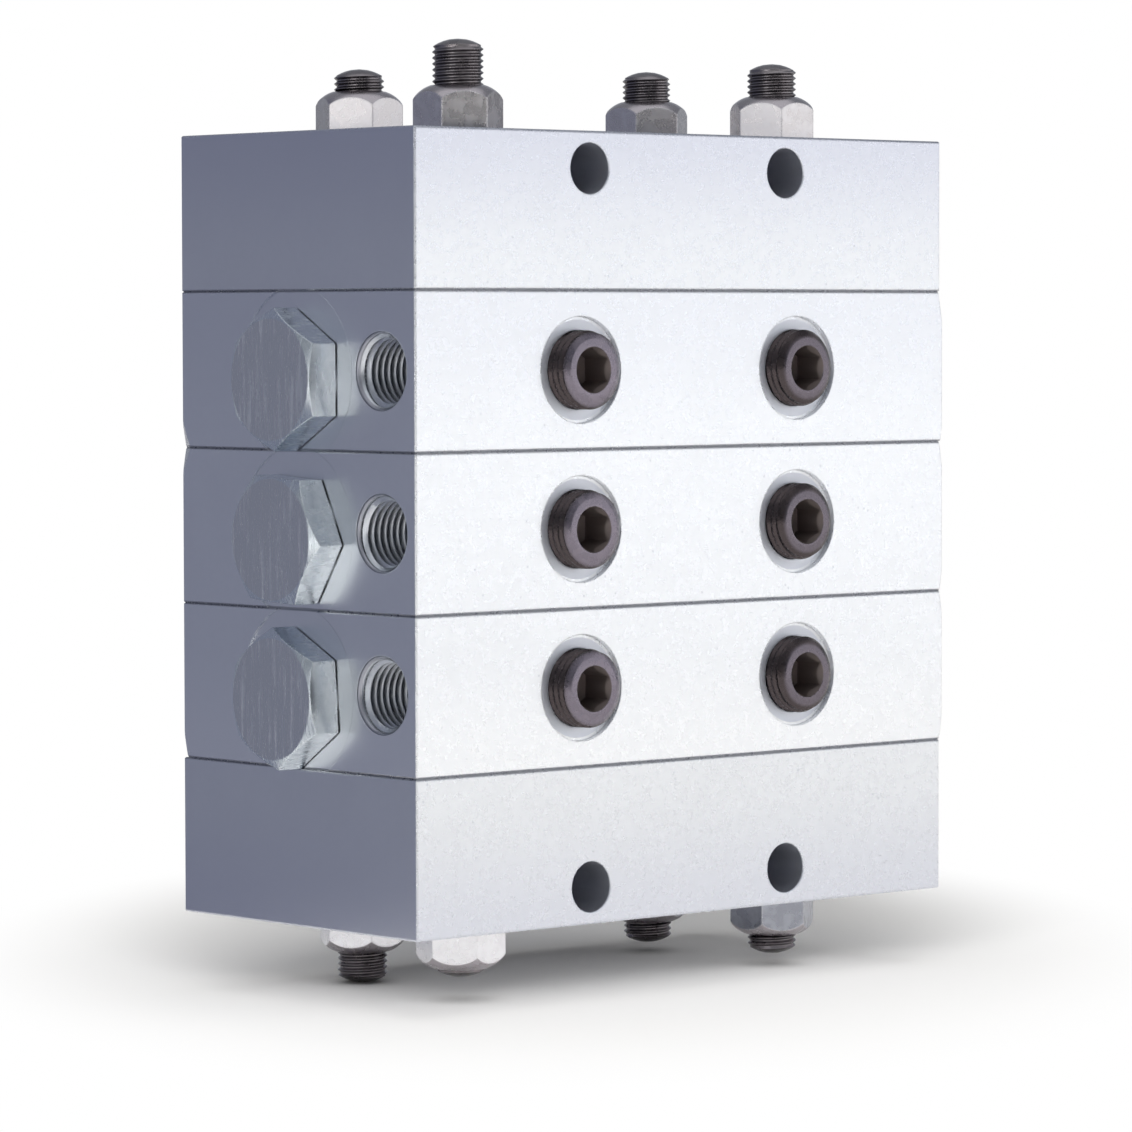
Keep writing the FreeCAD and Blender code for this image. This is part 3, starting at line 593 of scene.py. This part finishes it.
def zinc_plug():
    """Zinc plate over a turned hexagon, with streaks across the end face."""
    n = Material("zinc_plug")
    streaks = n.streaks((300.0, 1500.0, 90.0), 4.0, 0.6)
    mottle = n.noise(1.1 * MM, 4.0, 0.6)
    colour = n.mix(n.between(mottle, 0.35, 0.7), rgb(0.74, 0.80, 0.84), rgb(0.82, 0.87, 0.91))
    turned = n.mix(n.between(streaks, 0.50, 0.75), rgb(0.79, 0.80, 0.80), rgb(0.96, 0.97, 0.97))
    colour = n.mix(n.sideways(), colour, turned)
    edge, normal = n.edges(0.3 * MM)
    # painted highlight: edges paler
    colour = n.mix(n.product(edge, 0.05), colour, rgb(0.90, 0.92, 0.94))
    rough = n.between(streaks, 0.45, 0.75, 0.22, 0.46)
    height = n.math("ADD", n.product(streaks, 0.5), n.product(mottle, 0.3))
    return n.finish(colour, rough, n.bump(height, 0.015 * MM, normal))


def zinc_nut(name="zinc_nut", tones=NUT_TONES):
    """Zinc plate over a cold-formed nut, darker on the crown as painted shade, with brighter edges as
    painted highlight and wear.
    """
    n = Material(name)
    low, high = tones
    mottle = n.noise(2.2 * MM, 2.0, 0.5)
    patch = n.noise(4.0 * MM, 3.0, 0.5)
    colour = n.mix(n.between(mottle, 0.35, 0.7), rgb(*low), rgb(*high))
    colour = n.mix(n.between(patch, 0.5, 0.75, 0.0, 0.25), colour, rgb(*low, 0.85))
    _x, _y, up = n.split(n.normal())
    # painted shade on the faces that look up or down
    crown = n.between(n.math("ABSOLUTE", up), 0.10, 0.45)
    colour = n.mix(crown, colour, rgb(0.50, 0.465, 0.49))
    edge, normal = n.edges(0.4 * MM)
    # painted highlight and wear: edges paler
    colour = n.mix(n.product(edge, 0.45), colour, rgb(0.94, 0.92, 0.94))
    rough = n.between(mottle, 0.3, 0.7, 0.25, 0.31)
    return n.finish(colour, rough, normal)


def painted_light_nut():
    """The same plate, painted lighter on the left bottom nuts as a painted reflection of the floor."""
    return zinc_nut("painted_light_nut", PAINTED_LIGHT_NUT_TONES)


def dull_shaded_nut():
    """The same plate, darker and bluer on the other bottom nuts: partly a duller finish, partly painted
    shade.
    """
    return zinc_nut("dull_shaded_nut", DULL_SHADED_NUT_TONES)


def black_steel():
    """Black oxide on the socket plugs: grey on the end, near black on the thread, partly as painted shade,
    brown in the socket.
    """
    n = Material("black_steel")
    mottle = n.noise(1.2 * MM, 4.0, 0.6)
    colour = n.mix(n.between(mottle, 0.35, 0.7), rgb(0.225, 0.20, 0.24), rgb(0.255, 0.225, 0.265))
    edge, normal = n.edges(0.12 * MM)
    # painted highlight: edges paler
    colour = n.mix(n.product(edge, 0.3), colour, rgb(0.38, 0.35, 0.38))
    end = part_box("port_plug_left_top")[0].y
    _x, y, _z = n.split(n.place)
    # black oxide and painted shade in the spotface: the thread behind the end near black
    colour = n.mix(n.between(y, *(end + fade for fade in PLUG_END_FADE)), colour, rgb(0.085, 0.070, 0.072))
    inside = n.within(from_socket_axis(n), SOCKET_MOUTH_RADIUS - 0.1 * MM, 0.12 * MM)
    colour = n.mix(inside, colour, rgb(0.25, 0.212, 0.20))
    rough = n.between(mottle, 0.3, 0.7, 0.24, 0.32)
    rough = n.math("MAXIMUM", rough, n.product(inside, 0.6))
    return n.finish(colour, rough, normal)


def rod_steel():
    """Tie rod steel: worn brown grey, with painted shade and grime between the threads, and painted shade
    at the lower ends and on faces that look down.
    """
    n = Material("rod_steel")
    stain = n.noise(3.0 * MM, 2.0, 0.5)
    _x, _y, z = n.split(n.place)
    colour = n.mix(n.between(stain, 0.35, 0.65), rgb(0.27, 0.245, 0.255), rgb(0.33, 0.305, 0.315))
    # painted shade and grime between the threads, where the occlusion is
    open_share = n.between(n.hollow(0.8 * MM), 0.0, 1.0, 0.45, 1.0)
    colour = n.mix(open_share, rgb(0.08, 0.068, 0.066), colour)
    # painted shade towards the lower ends, near the floor
    colour = n.mix(n.between(z, *ROD_FOOT_FADE, 0.0, 0.3), colour, rgb(0.10, 0.09, 0.095))
    _x, _y, up = n.split(n.normal())
    # painted shade on faces that look down
    colour = n.mix(n.between(up, -0.3, -0.7, 0.0, 0.8), colour, rgb(0.06, 0.053, 0.056))
    _edge, normal = n.edges(0.12 * MM)
    return n.finish(colour, n.between(stain, 0.3, 0.7, 0.26, 0.32), normal)


def port_steel():
    """Cut threads of a port: bright crests over roots darkened with painted shade and grime, with a darker
    lead-in.
    """
    n = Material("port_steel")
    mottle = n.noise(1.0 * MM, 3.0, 0.6)
    colour = n.mix(n.between(mottle, 0.35, 0.7), rgb(0.66, 0.69, 0.74), rgb(0.74, 0.77, 0.81))
    # painted shade and grime in the roots, where the occlusion is
    colour = n.mix(n.hollow(2.0 * MM), rgb(0.44, 0.46, 0.50), colour)
    x, _y, _z = n.split(n.place)
    outer = n.math("ABSOLUTE", n.math("SUBTRACT", x, SECTION_SHIFT))
    colour = n.mix(n.between(outer, *PORT_LEAD_IN_FADE), colour, rgb(0.40, 0.41, 0.46))
    _edge, normal = n.edges(0.10 * MM)
    return n.finish(colour, n.between(mottle, 0.3, 0.7, 0.32, 0.40), normal)


def hardened_steel():
    """Ground and lapped steel, with fine rings around the piston."""
    n = Material("hardened_steel")
    rings = n.streaks((6000.0, 60.0, 60.0), 3.0, 0.6)
    stain = n.noise(6.0 * MM, 3.0, 0.5)
    colour = n.mix(n.between(stain, 0.4, 0.7), rgb(0.56, 0.56, 0.57), rgb(0.64, 0.63, 0.62))
    rough = n.between(rings, 0.3, 0.7, 0.14, 0.24)
    _edge, normal = n.edges(0.2 * MM)
    return n.finish(colour, rough, n.bump(rings, 0.004 * MM, normal))


def seal_rubber():
    """Black nitrile rubber, matt with a little bloom."""
    n = Material("seal_rubber")
    grain = n.noise(0.25 * MM, 3.0, 0.6)
    bloom = n.noise(3.0 * MM, 3.0, 0.5)
    colour = n.mix(n.between(bloom, 0.4, 0.75), rgb(0.014, 0.014, 0.015), rgb(0.035, 0.035, 0.036))
    rough = n.between(grain, 0.3, 0.7, 0.5, 0.68)
    return n.finish(colour, rough, n.bump(grain, 0.01 * MM), metallic=0.0)


# Pieces with threads

def dress(piece, node):
    """Let a piece stand for a node of the block stack."""
    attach(piece, "block_stack")
    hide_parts(node)


def dome_radius(inside):
    """Radius of a rod's dome at a distance inside its top."""
    return math.sqrt(max(ROD_DOME_RADIUS ** 2 - (ROD_DOME_RADIUS - inside) ** 2, 0.0))


def dome_inset(radius):
    """How far inside its top a rod's dome has a radius."""
    return ROD_DOME_RADIUS - math.sqrt(ROD_DOME_RADIUS ** 2 - radius ** 2)


def tie_rod(row, side, material):
    """Rod with a thread over each end; each end is domed behind a small bevel."""
    low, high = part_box(f"tie_rod_{row}_{side}")
    radius = (high.x - low.x) / 2
    root = radius - ROD_THREAD_DEPTH
    rim = radius - ROD_BEVEL
    length = high.z - low.z

    def limit(inside):
        if inside < dome_inset(rim):
            return dome_radius(inside)
        return min(radius, rim + (inside - dome_inset(rim)))

    def threaded(along, depth, held):
        wanted = radius if held else root + ROD_THREAD_DEPTH * depth
        return min(wanted, limit(min(along, length - along)))

    rod = Surface(((low.x + high.x) / 2, (low.y + high.y) / 2, low.z), (0, 0, 1))
    lower, upper = ROD_PHASES[(row, side)]
    rod.thread(dome_inset(root), ROD_THREAD_LENGTH, ROD_PITCH, lower, threaded)
    rod.thread(length - ROD_THREAD_LENGTH, length - dome_inset(root), ROD_PITCH, upper, threaded)
    rod.join(rod.ring(ROD_THREAD_LENGTH, radius), rod.ring(length - ROD_THREAD_LENGTH, radius))
    for top in (False, True):
        insides = [dome_inset(root) * share for share in ROD_DOME_RINGS]
        rings = [rod.ring(length - inside if top else inside, dome_radius(inside)) for inside in insides]
        for outer, inner in zip(rings, rings[1:]):
            rod.join(outer, inner)
        rod.tip(rings[-1], length if top else 0.0, top)
    piece = rod.finished(f"threaded_rod_{row}_{side}", material)
    dress(piece, f"tie_rod_{row}_{side}")


def socket_radius(column):
    """Radius of the hexagon socket, with a flat over column 0, at one column."""
    angle = 2 * math.pi * column / COLUMNS
    return SOCKET_FLATS / 2 / math.cos((angle + math.pi / 6) % (math.pi / 3) - math.pi / 6)


def mouth_ring(plug, share):
    """Ring of the socket's mouth, where the hexagon runs out into a cone."""
    cone = SOCKET_MOUTH_RADIUS + (SOCKET_FLATS / 2 - SOCKET_MOUTH_RADIUS) * share
    return plug.ring(SOCKET_MOUTH_DEPTH * share, lambda column: max(cone, socket_radius(column)))


def socket_rings(plug):
    """Rings of the socket, from its bottom up and out through the round mouth."""
    straight = [plug.ring(along, socket_radius) for along in (SOCKET_DEPTH, SOCKET_MOUTH_DEPTH)]
    return straight + [mouth_ring(plug, share) for share in SOCKET_MOUTH_RINGS]


def socket_plug(section, side, material):
    """Threaded plug with a hexagon socket in its outer end."""
    low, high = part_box(f"port_plug_{side}_{section}")
    radius = (high.x - low.x) / 2
    root = radius - PLUG_THREAD_DEPTH
    inner = radius - PLUG_BEVEL / 2
    length = high.y - low.y
    slope = (radius - PLUG_FACE_RADIUS) / PLUG_BEVEL

    def threaded(along, depth, held):
        wanted = radius if held else root + PLUG_THREAD_DEPTH * depth
        return min(wanted, PLUG_FACE_RADIUS + along * slope, inner + (length - along))

    plug = Surface(((low.x + high.x) / 2, low.y, (low.z + high.z) / 2), (0, 1, 0))
    first = (root - PLUG_FACE_RADIUS) / slope
    last = length - max(root - inner, 0.0)
    plug.thread(first, last, PLUG_PITCH, PLUG_PHASES[side], threaded)
    rings = socket_rings(plug)
    rings.append(plug.ring(0.0, PLUG_FACE_RADIUS - PLUG_EDGE))
    rings.append(plug.ring(PLUG_EDGE * 0.4, PLUG_FACE_RADIUS))
    rings.append(plug.ring(first, root))
    for lower, upper in zip(rings, rings[1:]):
        plug.join(lower, upper)
    plug.tip(rings[0], SOCKET_DEPTH + SOCKET_TIP, True)
    plug.tip(plug.ring(last, threaded(last, 0.0, True)), last, True)
    piece = plug.finished(f"socket_plug_{side}_{section}", material)
    dress(piece, f"port_plug_{side}_{section}")


def port_thread(name, origin, axis, radius, mouth_depth, depth, phase, material):
    """Tapped wall of a port: a sleeve against the bore, with a lead-in cone and the thread."""
    sleeve = Surface(origin, axis)
    wall, crest = radius - WALL_GAP, radius - PORT_CREST_GAP
    mouth = wall + mouth_depth * PORT_MOUTH_SLOPE

    def lead_in(along):
        return mouth - along * PORT_LEAD_IN_SLOPE

    def cut(along, share, held):
        if held:
            return lead_in(along) if along < depth / 2 else wall
        return min(wall, max(wall - (wall - crest) * share, lead_in(along)))

    sleeve.thread(mouth_depth, depth, PORT_PITCH, phase, cut)
    face = sleeve.ring(PORT_START, lead_in(PORT_START))
    outer = sleeve.ring(mouth_depth, wall)
    sleeve.join(face, sleeve.ring(mouth_depth, lead_in(mouth_depth)))
    sleeve.join(face, outer)
    sleeve.join(outer, sleeve.ring(depth, wall))
    piece = sleeve.finished(name, material)
    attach(piece, "block_stack")


def port_threads(material):
    """Threads of the tapped ports that the record states."""
    for mount in frame["record"]["mounts"]:
        if mount["kind"] != "threaded_hole":
            continue
        inward = -Vector(mount["axis"])
        bore = mount["dims"]["r_mm"] * MM
        length = mount["dims"]["length_mm"] * MM
        kind, *_between, place = mount["name"].split("_")
        depth = PORT_MOUTH_DEPTHS[kind]
        origin = Vector(mount["pos_m"]) - inward * depth
        name = f"thread_{mount['name']}"
        port_thread(name, origin, inward, bore, depth, depth + length, PORT_PHASES[place], material)


# Nodes that stay

def coat(name):
    """Name of the material of a node."""
    # bottom nuts: a lighter copy of the plate as painted light on the left ones, a darker one partly as
    # painted shade on the others
    if name.startswith("bottom_nut"):
        return "painted_light_nut" if name.endswith("left") else "dull_shaded_nut"
    return next((slot for start, slot in COATS.items() if name.startswith(start)), "zinc_block")


def paint(materials):
    """Give each node its material."""
    for name, node in frame["nodes"].items():
        node.data.materials.clear()
        node.data.materials.append(materials[coat(name)])


# Studio

def direction(azimuth, elevation=0.0):
    """Unit vector at an angle from +X, counted towards +Y, and above the floor."""
    a, e = math.radians(azimuth), math.radians(elevation)
    return Vector((math.cos(a) * math.cos(e), math.sin(a) * math.cos(e), math.sin(e)))


def soft_box(name, azimuth, elevation, distance, width, height, radiance, only):
    """Area light that shows its radiance to the object, and lights only metal or only the floor."""
    lamp = bpy.data.lights.new(name, "AREA")
    lamp.shape = "RECTANGLE"
    lamp.size, lamp.size_y = width, height
    lamp.energy = radiance * math.pi * width * height
    holder = linked(name, lamp)
    toward = direction(azimuth, elevation)
    holder.location = toward * distance + PART_MIDDLE
    holder.rotation_mode = "QUATERNION"
    holder.rotation_quaternion = toward.to_track_quat("Z", "Y")
    holder.visible_diffuse = only != "metal"
    holder.visible_glossy = only != "floor"


def room_level(n, place):
    """Strength of the room: dark behind the camera, pale behind the object."""
    total = ROOM_LEVEL
    for azimuth, change in ROOM_PATCHES:
        patch = n.between(n.dot(place, direction(azimuth)), *ROOM_PATCH_EDGE, 0.0, change)
        total = n.math("ADD", patch, total)
    return total


def horizon_band(n, place):
    """Strength of a soft band of light low over the floor."""
    _x, _y, z = n.split(place)
    rise = n.between(z, *HORIZON_RISE, 0.0, HORIZON_LIGHT, smooth=False)
    return n.product(rise, n.between(z, *HORIZON_FALL, 1.0, 0.0, smooth=False))


def studio_world():
    """Grey room in the metal, pale light on the floor, white for the camera."""
    world = bpy.data.worlds.new("studio")
    bpy.context.scene.world = world
    n = Nodes(world)
    place = n.add("ShaderNodeTexCoord").outputs["Generated"]
    path = n.add("ShaderNodeLightPath")
    room = n.tree.nodes["Background"]
    room.inputs["Color"].default_value = ROOM_COLOUR
    n.put(room.inputs["Strength"], room_level(n, place))
    shader = room.outputs[0]
    for ray, level in (("Is Diffuse Ray", horizon_band(n, place)), ("Is Camera Ray", 1.0)):
        plain = n.add("ShaderNodeBackground")
        plain.inputs["Color"].default_value = rgb(1, 1, 1)
        n.put(plain.inputs["Strength"], level)
        shader = n.mix_shaders(path.outputs[ray], shader, plain.outputs[0])
    n.link(shader, n.tree.nodes["World Output"].inputs["Surface"])


def floor_diffuse(n, seen, path):
    """Paper that is brighter where it is seen, also in the metal, than where it lights the part, with a
    painted contact shadow close to what touches it.
    """
    direct = n.math("LESS_THAN", path.outputs["Diffuse Depth"], 0.5)
    mirrored = n.math("MAXIMUM", seen, n.product(path.outputs["Is Glossy Ray"], direct))
    grain = n.noise(2.0 * MM, 2.0)
    paper = n.mix(grain, rgb(0.50, 0.495, 0.49), rgb(0.53, 0.525, 0.52))
    bright = n.mix(grain, rgb(1.0, 0.99, 0.975), rgb(0.99, 0.98, 0.965))
    # painted contact shadow, from the occlusion close to the part
    shade = n.between(n.hollow(CONTACT_REACH, 0.0, 0.85), 0.0, 1.0, CONTACT_TONE, 1.0)
    diffuse = n.add("ShaderNodeBsdfDiffuse")
    n.link(n.mix(shade, rgb(0, 0, 0), n.mix(mirrored, paper, bright)), diffuse.inputs["Color"])
    return diffuse.outputs[0]


def past_shadow(n, level):
    """0 inside the ellipse that holds the shadow, 1 well outside it."""
    turned = n.add("ShaderNodeMapping", vector_type="TEXTURE")
    n.link(n.place, turned.inputs["Vector"])
    turned.inputs["Location"].default_value = (*SHADOW_MIDDLE, level)
    turned.inputs["Rotation"].default_value = (0, 0, math.radians(SHADOW_AZIMUTH))
    turned.inputs["Scale"].default_value = (SHADOW_STRETCH, 1, 1)
    away = n.add("ShaderNodeVectorMath", operation="LENGTH")
    n.link(turned.outputs["Vector"], away.inputs[0])
    return n.between(away.outputs["Value"], *SHADOW_FADE)


def floor_paper(level):
    """White paper under the shadow, plain white to the camera past it."""
    n = Material("floor_paper")
    path = n.add("ShaderNodeLightPath")
    seen = path.outputs["Is Camera Ray"]
    glow = n.add("ShaderNodeEmission")
    far = n.product(past_shadow(n, level), seen)
    return n.surface(n.mix_shaders(far, floor_diffuse(n, seen, path), glow.outputs[0]))


def floor():
    """Pale round floor at the lowest rod end."""
    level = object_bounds()[0].z
    bm = bmesh.new()
    bmesh.ops.create_circle(bm, cap_ends=True, radius=FLOOR_RADIUS, segments=96)
    ground = mesh_object("floor", bm, floor_paper(level))
    ground.data.transform(Matrix.Translation((*PART_MIDDLE.xy, level)))
    ground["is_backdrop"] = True


def sweep_grey():
    """Even grey glow."""
    n = Material("grey_sweep")
    glow = n.add("ShaderNodeEmission")
    glow.inputs["Color"].default_value = SWEEP_COLOUR
    return n.surface(glow.outputs[0])


def grey_sweep():
    """Grey sheet over the floor and up behind the left side, seen only in the metal."""
    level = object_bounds()[0].z + SWEEP_LIFT
    bm = bmesh.new()
    rows = []
    for distance, height, *ends in SWEEP_ROWS:
        row = []
        for azimuth in ends:
            reach = distance / math.cos(math.radians(azimuth - SWEEP_AZIMUTH))
            row.append(bm.verts.new(direction(azimuth) * reach + Vector((0, 0, level + height))))
        rows.append(row)
    for near, far in zip(rows, rows[1:]):
        bm.faces.new((near[0], near[1], far[1], far[0]))
    sheet = mesh_object("grey_sweep", bm, sweep_grey())
    sheet.visible_camera = False
    sheet.visible_diffuse = False
    sheet.visible_shadow = False
    sheet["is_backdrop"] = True


def camera():
    """Camera at the photograph's place, direction and framing."""
    data = bpy.data.cameras.new("camera")
    data.lens = CAMERA_LENS
    data.sensor_width = CAMERA_SENSOR
    data.sensor_fit = "HORIZONTAL"
    data.clip_start, data.clip_end = CAMERA_CLIP
    holder = linked("camera", data)
    turn = Matrix.Rotation(-CAMERA_YAW, 3, "Z") @ Matrix.Rotation(math.pi / 2 + CAMERA_PITCH, 3, "X")
    turn = turn @ Matrix.Rotation(CAMERA_ROLL, 3, "Z")
    holder.location = CAMERA_PLACE
    holder.rotation_euler = turn.to_euler()
    bpy.context.scene.camera = holder


def main():
    bpy.context.scene.view_settings.view_transform = "Standard"
    makers = (zinc_block, zinc_end_block, zinc_plug, zinc_nut, painted_light_nut, dull_shaded_nut, black_steel)
    makers += (rod_steel, port_steel, hardened_steel, seal_rubber)
    materials = {maker.__name__: maker() for maker in makers}
    paint(materials)
    for row in ROWS:
        for side in SIDES:
            tie_rod(row, side, materials["rod_steel"])
    for section in SECTIONS:
        for side in SIDES:
            socket_plug(section, side, materials["black_steel"])
    port_threads(materials["port_steel"])
    camera()
    studio_world()
    for lamp in LAMPS:
        soft_box(*lamp)
    grey_sweep()
    floor()


main()
